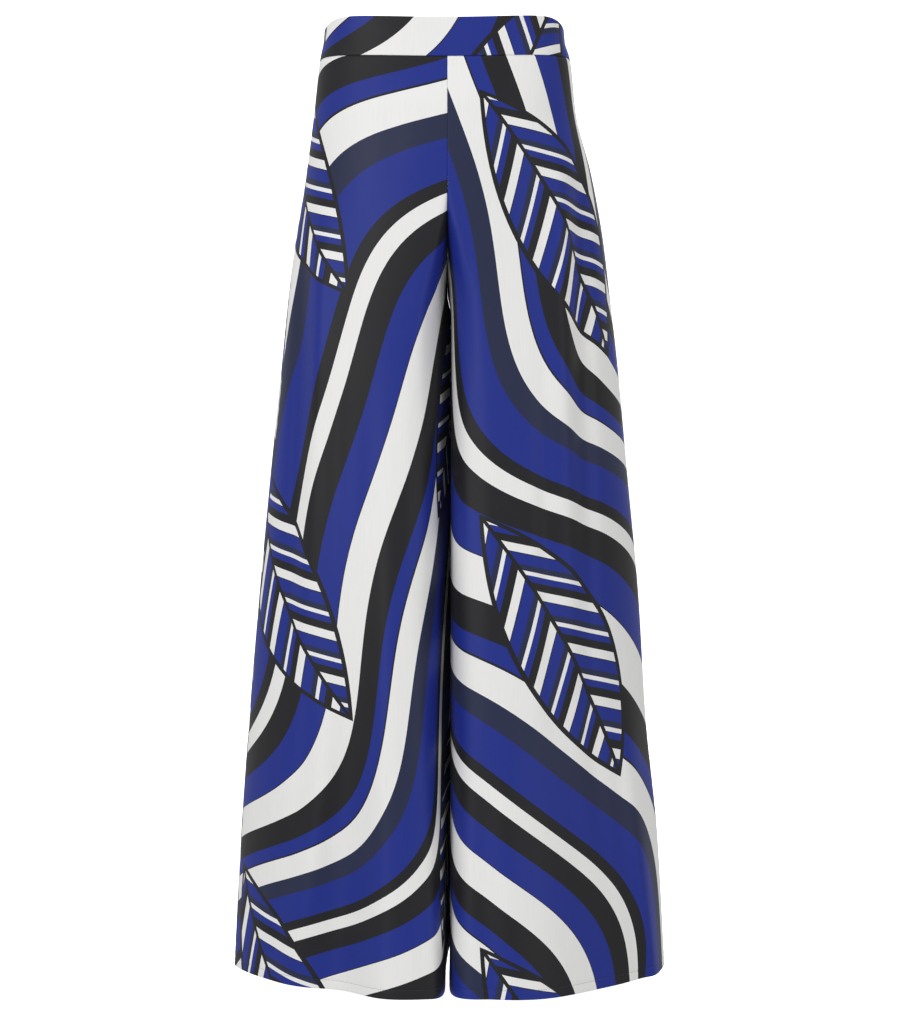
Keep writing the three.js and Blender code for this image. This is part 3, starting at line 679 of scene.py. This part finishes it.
def print_group():
    """The printed design: waving diagonal bands, with large striped leaves set on them in half drop.

    The ground's place is a straight diagonal distance plus two sine waves of the distance along it. A
    leaf is where |x| is under half its width times 1 - (y / half its length)^2, turned to one side or
    the other from column to column, and its stripes are a chevron, y + |x|, stepped at the midrib.
    """
    tree, given, result = new_group(
        "printed design", [("Cut", "NodeSocketVector")], [("Color", "NodeSocketColor")]
    )
    split = tree.nodes.new("ShaderNodeSeparateXYZ")
    tree.links.new(given.outputs["Cut"], split.inputs[0])
    u, v = split.outputs[0], split.outputs[1]

    def op(operation, *values):
        return math_node(tree, operation, *values)

    def total(*values):
        result_so_far = values[0]
        for value in values[1:]:
            result_so_far = op("ADD", result_so_far, value)
        return result_so_far

    def wave(place, length, start, height):
        return op("MULTIPLY", op("SINE", op("MULTIPLY_ADD", place, 2 * math.pi / length, start)), height)

    lean = math.radians(GROUND_LEAN)
    across = total(op("MULTIPLY", u, math.sin(lean)), op("MULTIPLY", v, math.cos(lean)))
    along = total(op("MULTIPLY", u, -math.cos(lean)), op("MULTIPLY", v, math.sin(lean)))
    phase = total(across, wave(along, *LONG_WAVE), wave(along, *SHORT_WAVE))
    uneven = total(phase, wave(phase, *WIDTH_WAVE))
    ground = band_ramp(tree, GROUND_BANDS, op("FRACT", op("DIVIDE", uneven, GROUND_REPEAT)))

    def from_middle(place, cell):
        return op("MULTIPLY", op("SUBTRACT", op("FRACT", op("DIVIDE", place, cell)), 0.5), cell)

    column = op("FLOOR", op("DIVIDE", u, CELL_WIDTH))
    odd = op("PINGPONG", column, 1.0)
    shifted = op("MULTIPLY_ADD", odd, CELL_HEIGHT / 2, v)
    cell_x, cell_y = from_middle(u, CELL_WIDTH), from_middle(shifted, CELL_HEIGHT)
    turn = op("MULTIPLY_ADD", odd, math.radians(-2 * LEAF_TURN), math.radians(LEAF_TURN))
    cosine, sine = op("COSINE", turn), op("SINE", turn)
    bend = op("MULTIPLY", op("MULTIPLY", cell_y, cell_y), LEAF_BEND)
    leaf_x = total(op("MULTIPLY", cell_x, cosine), op("MULTIPLY", cell_y, sine), bend)
    leaf_y = op("SUBTRACT", op("MULTIPLY", cell_y, cosine), op("MULTIPLY", cell_x, sine))
    share = op("DIVIDE", leaf_y, LEAF_HALF_LENGTH)
    rim = op("MULTIPLY", op("SUBTRACT", 1.0, op("MULTIPLY", share, share)), LEAF_HALF_WIDTH)
    aside = op("ABSOLUTE", leaf_x)
    inside = op("GREATER_THAN", op("SUBTRACT", rim, aside), 0.0)
    edge = op("LESS_THAN", op("SUBTRACT", rim, aside), LEAF_OUTLINE)
    lined = op("MAXIMUM", edge, op("LESS_THAN", aside, LEAF_MIDRIB))
    stepped = op("MULTIPLY", op("GREATER_THAN", leaf_x, 0.0), MIDRIB_STEP)
    chevron = total(leaf_y, op("MULTIPLY", aside, CHEVRON_SLOPE), stepped)
    veins = band_ramp(tree, LEAF_BANDS, op("FRACT", op("DIVIDE", chevron, LEAF_REPEAT)))
    leaf = mixed(tree, lined, veins, BLACK)
    tree.links.new(mixed(tree, inside, ground, leaf), result.inputs["Color"])
    return tree


def weave_group():
    """Silk twill: fine slanting ribs, long faint streaks along the warp, and a soft unevenness.

    Height is the ribs and streaks for the bump, Tone a shade a few hundredths either side of 1.
    """
    tree, given, result = new_group(
        "silk twill",
        [("Cut", "NodeSocketVector")],
        [("Height", "NodeSocketFloat"), ("Tone", "NodeSocketFloat"), ("Soft", "NodeSocketFloat")],
    )

    def noise(stretch, detail):
        place = tree.nodes.new("ShaderNodeMapping")
        place.inputs["Scale"].default_value = stretch
        tree.links.new(given.outputs["Cut"], place.inputs["Vector"])
        node = tree.nodes.new("ShaderNodeTexNoise")
        node.inputs["Scale"].default_value = 1
        node.inputs["Detail"].default_value = detail
        tree.links.new(place.outputs[0], node.inputs["Vector"])
        return node.outputs[0]

    slant = tree.nodes.new("ShaderNodeMapping")
    slant.inputs["Rotation"].default_value = (0, 0, math.radians(27))
    tree.links.new(given.outputs["Cut"], slant.inputs["Vector"])
    ribs = tree.nodes.new("ShaderNodeTexWave")
    ribs.inputs["Scale"].default_value = 480
    tree.links.new(slant.outputs[0], ribs.inputs["Vector"])
    streaks = noise((900, 26, 1), 3)
    slubs = noise((90, 900, 1), 2)
    threads = math_node(tree, "MULTIPLY_ADD", streaks, 0.6, math_node(tree, "MULTIPLY", slubs, 0.3))
    height = math_node(tree, "MULTIPLY_ADD", ribs.outputs[1], 0.5, threads)
    tone = math_node(tree, "MULTIPLY_ADD", streaks, 0.10, 0.95)
    tree.links.new(height, result.inputs["Height"])
    tree.links.new(tone, result.inputs["Tone"])
    tree.links.new(noise((16, 7, 1), 2), result.inputs["Soft"])
    return tree


printed_design = print_group()
silk_weave = weave_group()


def silk_material(name, reverse):
    """The printed silk: dyed colour from the design, a fine bump from the weave and a soft sheen.

    The reverse shows the same design paler, as the dye reaches through a thin cloth.
    """
    material, tree, shader = new_material(name)
    cut = tree.nodes.new("ShaderNodeUVMap")
    cut.uv_map = "cut"
    design = tree.nodes.new("ShaderNodeGroup")
    design.node_tree = printed_design
    weave = tree.nodes.new("ShaderNodeGroup")
    weave.node_tree = silk_weave
    tree.links.new(cut.outputs[0], design.inputs[0])
    tree.links.new(cut.outputs[0], weave.inputs[0])
    colour = design.outputs[0]
    if reverse:
        colour = mixed(tree, 0.42, colour, (0.62, 0.63, 0.66, 1))
    toned = tree.nodes.new("ShaderNodeVectorMath")
    toned.operation = "SCALE"
    tree.links.new(colour, toned.inputs[0])
    tree.links.new(weave.outputs["Tone"], toned.inputs["Scale"])
    tree.links.new(toned.outputs[0], shader.inputs["Base Color"])
    rough = math_node(tree, "MULTIPLY_ADD", weave.outputs["Soft"], 0.14, 0.60 if reverse else 0.46)
    tree.links.new(rough, shader.inputs["Roughness"])
    shader.inputs["Specular IOR Level"].default_value = 0.22
    shader.inputs["Sheen Weight"].default_value = 0.03
    shader.inputs["Sheen Roughness"].default_value = 0.42
    ripples = bumped(tree, weave.outputs["Soft"], 0.5, 0.0016)
    threads = bumped(tree, weave.outputs["Height"], 0.35, 0.00005, under=ripples)
    tree.links.new(threads, shader.inputs["Normal"])
    return material


silk = silk_material("printed silk", reverse=False)
silk_reverse = silk_material("printed silk reverse", reverse=True)
CLOTH = 0.0005
# Where each piece lies on the bolt, as across and down it
BOLT = {
    "front_right": (0.31, 0.13),
    "front_left": (1.27, 0.42),
    "back_right": (2.18, 0.05),
    "back_left": (3.11, 0.27),
    "waistband_front": (4.22, 0.64),
    "waistband_back": (4.93, 0.36),
}


def make_cloth(name, points, cut, node):
    """A printed piece with its own thickness, on its place on the bolt, that stands for a CAD node."""
    place = np.array(BOLT[node])
    made = grid_object(name, points, uv=cut + place)
    made.data.materials.append(silk)
    made.data.materials.append(silk_reverse)
    wall = made.modifiers.new("cloth", "SOLIDIFY")
    wall.thickness = CLOTH
    wall.offset = -1
    wall.material_offset = 1
    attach(made, "pants")
    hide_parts(node)
    return made


def keep_side(points, leg, drops):
    """Keeps a leg's cloth on its own side of the centre seam, half a seam's gap from the middle."""
    limit = SEAM_GAP / 2 * MM
    x = points[..., 0] * SIDE_OF[leg]
    kept = SIDE_OF[leg] * np.maximum(x, limit)
    points[..., 0] = np.where(drops[:, None] <= CROTCH_DROP, kept, points[..., 0])
    return points


GRAIN_X = 75
# The centre edge's allowance loses this share at the fork. The clipping grows between two heights above
# the fork, and fades between two drops below the crotch.
FORK_CLIPPED = 0.82
CLIP_GROWS = (14, 2)
CLIP_FADES = (10, 40)
# The seam edges are pressed flatter in the rows that are tucked into the band and turned up at the hem.
TUCKED_ROWS, TUCKED_ROLL = 3, 0.7
TURNED_ROWS, TURNED_ROLLS = 9, (0.95, 0.45)
for leg in ("left", "right"):
    for face in ("front", "back"):
        rows = panel_rows()
        fork_drop = FRONT_FORK_DROP if face == "front" else BACK_FORK_DROP
        grows, grown = (fork_drop - height for height in CLIP_GROWS)
        fades, faded = (CROTCH_DROP + below for below in CLIP_FADES)
        forking = smoothstep(rows[:, 0], grows, grown)
        kept = 1 - FORK_CLIPPED * forking * (1 - smoothstep(rows[:, 0], fades, faded))
        rolls = np.ones(len(rows))
        rolls[:TUCKED_ROWS] = TUCKED_ROLL
        rolls[-TURNED_ROWS:] = np.linspace(*TURNED_ROLLS, TURNED_ROWS)
        outward = -SIDE_OF[leg] * FACE_OF[face]
        surface = functools.partial(panel_point, leg, face)
        points, cut = cloth_grid(surface, (0, 1), rows, PANEL_COLUMNS, outward, GRAIN_X, rolls, kept)
        points = keep_side(points, leg, rows[:, 0])
        if outward < 0:
            points, cut = points[:, ::-1], cut[:, ::-1]
        panel = make_cloth(f"{face}_{leg}_panel", points, cut, f"{face}_{leg}")


# The waistband. Each half is a strip of the same silk folded over a stiffener, with its lower edges
# turned up inside, and the panels' top edges are caught between its two layers.
BAND_DEPTH = 2.0
BAND_TOP_ROLL = 1.0
BAND_LOW_ROLL = 0.7
BAND_CLEAR = 0.1  # from its lower edge to the waist seam
BAND_COLUMNS = 150
OUTER_ROWS = 18
OVER_ROWS = 9
INNER_ROWS = 15
INNER_ROLL = 1.45  # the seam edges' depth falls by this much on the inner layer, to just past 0


def band_point(face, v, drop):
    """The waistband's outer point: v runs from -1 at the wearer's right side to 1 at the left."""
    v, drop = np.broadcast_arrays(v, drop)
    right = panel_point("right", face, np.abs(v), drop)
    left = panel_point("left", face, np.abs(v), drop)
    points = np.where((v < 0)[..., None], right, left)
    points[..., 0] = np.where(v == 0, 0, points[..., 0])
    return points


def band_rows():
    """Drops and depths round the strip: up its outer face, over the top edge and down inside."""
    low = np.linspace(QUARTER, 0, 5)
    over = np.linspace(0, math.pi, OVER_ROWS)
    low_drops = BAND_HEIGHT - BAND_CLEAR - BAND_LOW_ROLL * (1 - np.sin(low))
    outer_low = zip(low_drops, BAND_LOW_ROLL * (1 - np.cos(low)))
    outer = [(drop, 0) for drop in np.linspace(BAND_HEIGHT - 3, 3, OUTER_ROWS)]
    top = zip(BAND_TOP_ROLL * (1 - np.sin(over)), BAND_TOP_ROLL * (1 - np.cos(over)))
    inner = [(drop, BAND_DEPTH) for drop in np.linspace(3, BAND_HEIGHT, INNER_ROWS)]
    return np.array(list(outer_low) + outer + list(top) + inner, dtype=float)


for face in ("front", "back"):
    rows = band_rows()
    rolls = 1 - INNER_ROLL * smoothstep(rows[:, 1], 0.1, BAND_DEPTH)
    rolls[: -INNER_ROWS - OVER_ROWS] = 1
    outward = -FACE_OF[face]
    surface = functools.partial(band_point, face)
    kept = np.ones(len(rows))
    points, cut = cloth_grid(surface, (-1, 1), rows, BAND_COLUMNS, outward, 0, rolls, kept)
    if outward > 0:
        points, cut = points[:, ::-1], cut[:, ::-1]
    band = make_cloth(f"waistband_{face}_strip", points, cut, f"waistband_{face}")


# The hem stitches: one row of dark thread through the turned-up hem, 10 mm above its edge. Each stitch
# lies in a small dent on both sides of the cloth.
STITCH_PITCH = 3.1
STITCH_LENGTH = 2.4
THREAD_RADIUS = 0.13
STITCH_RINGS = 5
STITCH_INSET = 0.6  # from a panel's edge to its first stitch, in pitches
STITCH_ARCH = 0.16  # how far a stitch's middle stands out
STITCH_SUNK = 0.02
THREAD_SIDES = 6
THREAD_END = 0.35  # the thread's thickness where it dives into the cloth, as a share


def tube_mesh(name, middles, normals, radii):
    """Many short thread tubes in one mesh: rings of points round each middle line, closed at both ends.

    middles is tubes by rings by 3. A ring's two axes are the cloth's normal and its cross product with
    the line's direction.
    """
    count, rings = middles.shape[:2]
    along = np.gradient(middles, axis=1)
    aside = np.cross(along, normals)
    aside /= np.linalg.norm(aside, axis=-1, keepdims=True)
    turn = np.linspace(0, 2 * math.pi, THREAD_SIDES, endpoint=False)[:, None]
    spokes = np.cos(turn) * normals[:, :, None] + np.sin(turn) * aside[:, :, None]
    points = middles[:, :, None] + spokes * radii[:, :, None, None]
    number = np.arange(count * rings * THREAD_SIDES).reshape(count, rings, THREAD_SIDES)
    after = np.roll(number, -1, axis=2)
    corners = [number[:, :-1], number[:, 1:], after[:, 1:], after[:, :-1]]
    sides = np.stack(corners, axis=-1).reshape(-1, 4)
    ends = np.concatenate([number[:, 0], number[:, -1, ::-1]])
    mesh = bpy.data.meshes.new(name)
    mesh.from_pydata(points.reshape(-1, 3).tolist(), [], sides.tolist() + ends.tolist())
    mesh.polygons.foreach_set("use_smooth", np.ones(len(mesh.polygons), dtype=bool))
    made = bpy.data.objects.new(name, mesh)
    scene.collection.objects.link(made)
    return made


def thread_material(name, colour):
    """Twisted sewing thread: a fine slanting ripple round the ply, with a painted highlight along the
    ply's raised crests.
    """
    material, tree, shader = new_material(name)
    place = tree.nodes.new("ShaderNodeTexCoord")
    ply = tree.nodes.new("ShaderNodeTexWave")
    ply.inputs["Scale"].default_value = 900
    ply.inputs["Distortion"].default_value = 1.5
    tree.links.new(place.outputs["Object"], ply.inputs["Vector"])
    tree.links.new(bumped(tree, ply.outputs[1], 0.6, 0.00004), shader.inputs["Normal"])
    # Painted highlight: the colour turns lighter wherever the ply ripple stands out, on the same wave as
    # the bump.
    light = tuple(min(1, c * 1.5 + 0.01) for c in colour[:3]) + (1,)
    tree.links.new(mixed(tree, ply.outputs[1], colour, light), shader.inputs["Base Color"])
    shader.inputs["Roughness"].default_value = 0.55
    shader.inputs["Sheen Weight"].default_value = 0.15
    return material


sewing_thread = thread_material("navy sewing thread", (0.030, 0.032, 0.050, 1))


def hem_stitches(leg, face):
    """Middle lines, normals and radii of one panel's stitches, outside and then inside the hem."""
    surface = functools.partial(panel_point, leg, face)
    outward = -SIDE_OF[leg] * FACE_OF[face]
    drops = np.array([OUTSEAM - HEM_TURN], dtype=float)
    _, arcs = arcs_of(surface, (0, 1), drops)
    count = int(arcs[0, -1] / STITCH_PITCH) - 1
    t = np.linspace(0, 1, STITCH_RINGS)
    starts = (np.arange(count) + STITCH_INSET) * STITCH_PITCH
    lengths = (starts[:, None] + t * STITCH_LENGTH).reshape(1, -1)
    arch = np.tile(np.sin(math.pi * t), count)[None, :]
    radii = THREAD_RADIUS * (THREAD_END + (1 - THREAD_END) * arch) * MM
    found = []
    for depth, side in ((STITCH_DENT - STITCH_SUNK, 1), (HEM_ROLL * 2 + STITCH_SUNK, -1)):
        depths = depth - side * STITCH_ARCH * arch
        points, normals = laid_cloth(surface, (0, 1), drops, lengths, depths, outward)
        shape = (count, STITCH_RINGS)
        found.append((points.reshape(*shape, 3) * MM, normals.reshape(*shape, 3), radii.reshape(shape)))
    return found


for leg in ("left", "right"):
    rows_of_stitches = hem_stitches(leg, "front") + hem_stitches(leg, "back")
    middles, normals, radii = (np.concatenate(parts) for parts in zip(*rows_of_stitches))
    stitches = tube_mesh(f"hem_stitches_{leg}", middles, normals, radii)
    stitches.data.materials.append(sewing_thread)
    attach(stitches, "pants")


# The concealed zip's tape. Two woven polyester strips lie behind the left side seam, one sewn to each
# panel's allowance, from the waistband's top edge down over the hip.
TAPE_HALF = 12
TAPE_THICK = 0.5
TAPE_CLEAR = 0.4
TAPE_TOP = 2
TAPE_END = 195
TAPE_ROWS = 90
TAPE_COLUMNS = 12  # of each strip
TAPE_EDGE = 0.05  # from a strip's inner edge to the seam's line
PANEL_WALL = 1.2
WALL_STEP = 30  # the height over which the wall goes from the band's to the panels'


def tape_depth(drop):
    """Behind the waistband's 2 mm and then behind the panels' 1.2 mm, with a smooth step between."""
    step = smoothstep(drop, BAND_HEIGHT, BAND_HEIGHT + WALL_STEP)
    return BAND_DEPTH - (BAND_DEPTH - PANEL_WALL) * step + TAPE_CLEAR


def beside_seam(drops, asides, depths):
    """Points and normals beside the left side seam. An aside below 0 is on the front panel."""
    found = []
    for face, sign in (("front", -1), ("back", 1)):
        surface = functools.partial(panel_point, "left", face)
        _, arcs = arcs_of(surface, (0, 1), drops)
        lengths = arcs[:, -1:] - np.maximum(sign * asides, 0)
        found.append(laid_cloth(surface, (0, 1), drops, lengths, depths, -FACE_OF[face]))
    (front, front_normal), (back, back_normal) = found
    is_front = (asides < 0)[..., None]
    return np.where(is_front, front, back), np.where(is_front, front_normal, back_normal)


def woven_tape_material():
    """Dark navy polyester tape: a close plain weave."""
    material, tree, shader = new_material("zip tape weave")
    place = tree.nodes.new("ShaderNodeUVMap")
    place.uv_map = "cut"
    waves = []
    for turned in (0, math.pi / 2):
        turn = tree.nodes.new("ShaderNodeMapping")
        turn.inputs["Rotation"].default_value = (0, 0, turned)
        tree.links.new(place.outputs[0], turn.inputs["Vector"])
        wave = tree.nodes.new("ShaderNodeTexWave")
        wave.inputs["Scale"].default_value = 420
        tree.links.new(turn.outputs[0], wave.inputs["Vector"])
        waves.append(wave.outputs[1])
    weave = math_node(tree, "MULTIPLY", waves[0], waves[1])
    # Painted highlight and painted shade: the tape is lighter on the weave's raised crossings and darker
    # between them, on the same pattern as the bump.
    colour = mixed(tree, weave, (0.006, 0.008, 0.020, 1), (0.016, 0.021, 0.048, 1))
    tree.links.new(colour, shader.inputs["Base Color"])
    tree.links.new(bumped(tree, weave, 0.7, 0.0001), shader.inputs["Normal"])
    shader.inputs["Roughness"].default_value = 0.7
    return material


tape_drops = np.linspace(TAPE_TOP, TAPE_END, TAPE_ROWS)
back_asides = np.linspace(TAPE_EDGE, TAPE_HALF, TAPE_COLUMNS)
tape_asides = np.concatenate([-back_asides[::-1], back_asides])
asides = np.broadcast_to(tape_asides, (TAPE_ROWS, 2 * TAPE_COLUMNS))
depths = np.broadcast_to(tape_depth(tape_drops)[:, None], asides.shape)
tape_points, _ = beside_seam(tape_drops, asides, depths)
tape_cut = np.stack([asides, -np.broadcast_to(tape_drops[:, None], asides.shape)], axis=-1)
tape = grid_object("zip_tape_weave", tape_points * MM, uv=tape_cut * MM)
tape.data.materials.append(woven_tape_material())
tape_wall = tape.modifiers.new("tape", "SOLIDIFY")
tape_wall.thickness = TAPE_THICK * MM
tape_wall.offset = -1
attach(tape, "pants")
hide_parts("zip_tape")


# The zip's coil: two nylon wires wound into flat coils and sewn along the tapes' edges, whose turns
# interlock behind the seam.
COIL_PITCH = 1.4
COIL_WIRE = 0.26
COIL_HALF = 1.9
COIL_RISE = 0.55
COIL_MEETS = 0.45  # how far each coil's turns reach past the seam's line
COIL_TOP = 7
COIL_END = 188
COIL_STEPS = 14


def coil_line(sign):
    """One flat coil's middle line: across and deep on an ellipse, and down one pitch a turn."""
    turns = int((COIL_END - COIL_TOP) / COIL_PITCH)
    angle = np.linspace(0, 2 * math.pi * turns, turns * COIL_STEPS + 1)
    drop = COIL_TOP + COIL_PITCH * (angle / (2 * math.pi) + (0.5 if sign > 0 else 0))
    aside = sign * (COIL_HALF - COIL_MEETS - COIL_HALF * np.cos(angle))
    depth = tape_depth(drop) + TAPE_THICK + COIL_WIRE + COIL_RISE * (1 + np.sin(angle))
    return drop, aside, depth


for name, sign in (("front", -1), ("back", 1)):
    drop, aside, depth = coil_line(sign)
    points, normals = beside_seam(drop, aside[:, None], depth[:, None])
    coil = tube_mesh(
        f"zip_coil_{name}",
        points.reshape(1, -1, 3) * MM,
        normals.reshape(1, -1, 3),
        np.full((1, len(drop)), COIL_WIRE * MM),
    )
    coil.data.materials.append(sewing_thread)
    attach(coil, "pants")


# The slider and its pull tab: die-cast metal with a dark navy lacquer, worn through in small specks. The
# pull swings on the slider's arch. Both keep the solids' shape, with their edges eased.
def lacquer_material():
    """Thick glossy lacquer with a faint orange-peel ripple, and small bare specks of metal."""
    material, tree, shader = new_material("navy lacquer on metal")
    place = tree.nodes.new("ShaderNodeTexCoord")
    peel = tree.nodes.new("ShaderNodeTexNoise")
    peel.inputs["Scale"].default_value = 900
    specks = tree.nodes.new("ShaderNodeTexNoise")
    specks.inputs["Scale"].default_value = 420
    specks.inputs["Detail"].default_value = 5
    for node in (peel, specks):
        tree.links.new(place.outputs["Object"], node.inputs["Vector"])
    worn = math_node(tree, "GREATER_THAN", specks.outputs[0], 0.68)
    colour = mixed(tree, worn, (0.012, 0.015, 0.034, 1), (0.32, 0.31, 0.30, 1))
    tree.links.new(colour, shader.inputs["Base Color"])
    tree.links.new(math_node(tree, "MULTIPLY", worn, 0.9), shader.inputs["Metallic"])
    rough = math_node(tree, "MULTIPLY_ADD", peel.outputs[0], 0.2, 0.2)
    tree.links.new(rough, shader.inputs["Roughness"])
    tree.links.new(bumped(tree, peel.outputs[0], 0.25, 0.00008), shader.inputs["Normal"])
    shader.inputs["Coat Weight"].default_value = 0.5
    shader.inputs["Coat Roughness"].default_value = 0.12
    return material


lacquer = lacquer_material()
HARD_PIECES = [
    ("zip_slider", "zip_slider_cast", "pants"),
    ("zip_pull", "zip_pull_tab", "pull"),
]
for node, name, body in HARD_PIECES:
    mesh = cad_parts[node].data.copy()
    mesh.materials.clear()
    mesh.materials.append(lacquer)
    shape = bmesh.new()
    shape.from_mesh(mesh)
    bmesh.ops.remove_doubles(shape, verts=shape.verts, dist=0.00001)
    bmesh.ops.dissolve_limit(shape, angle_limit=math.radians(2), verts=shape.verts, edges=shape.edges)
    shape.to_mesh(mesh)
    shape.free()
    hard_piece = bpy.data.objects.new(name, mesh)
    scene.collection.objects.link(hard_piece)
    eased = hard_piece.modifiers.new("eased edges", "BEVEL")
    eased.width = 0.00012
    eased.segments = 3
    eased.limit_method = "ANGLE"
    eased.angle_limit = math.radians(35)
    mesh.polygons.foreach_set("use_smooth", np.ones(len(mesh.polygons), dtype=bool))
    eased.harden_normals = True
    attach(hard_piece, body)
    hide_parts(node)
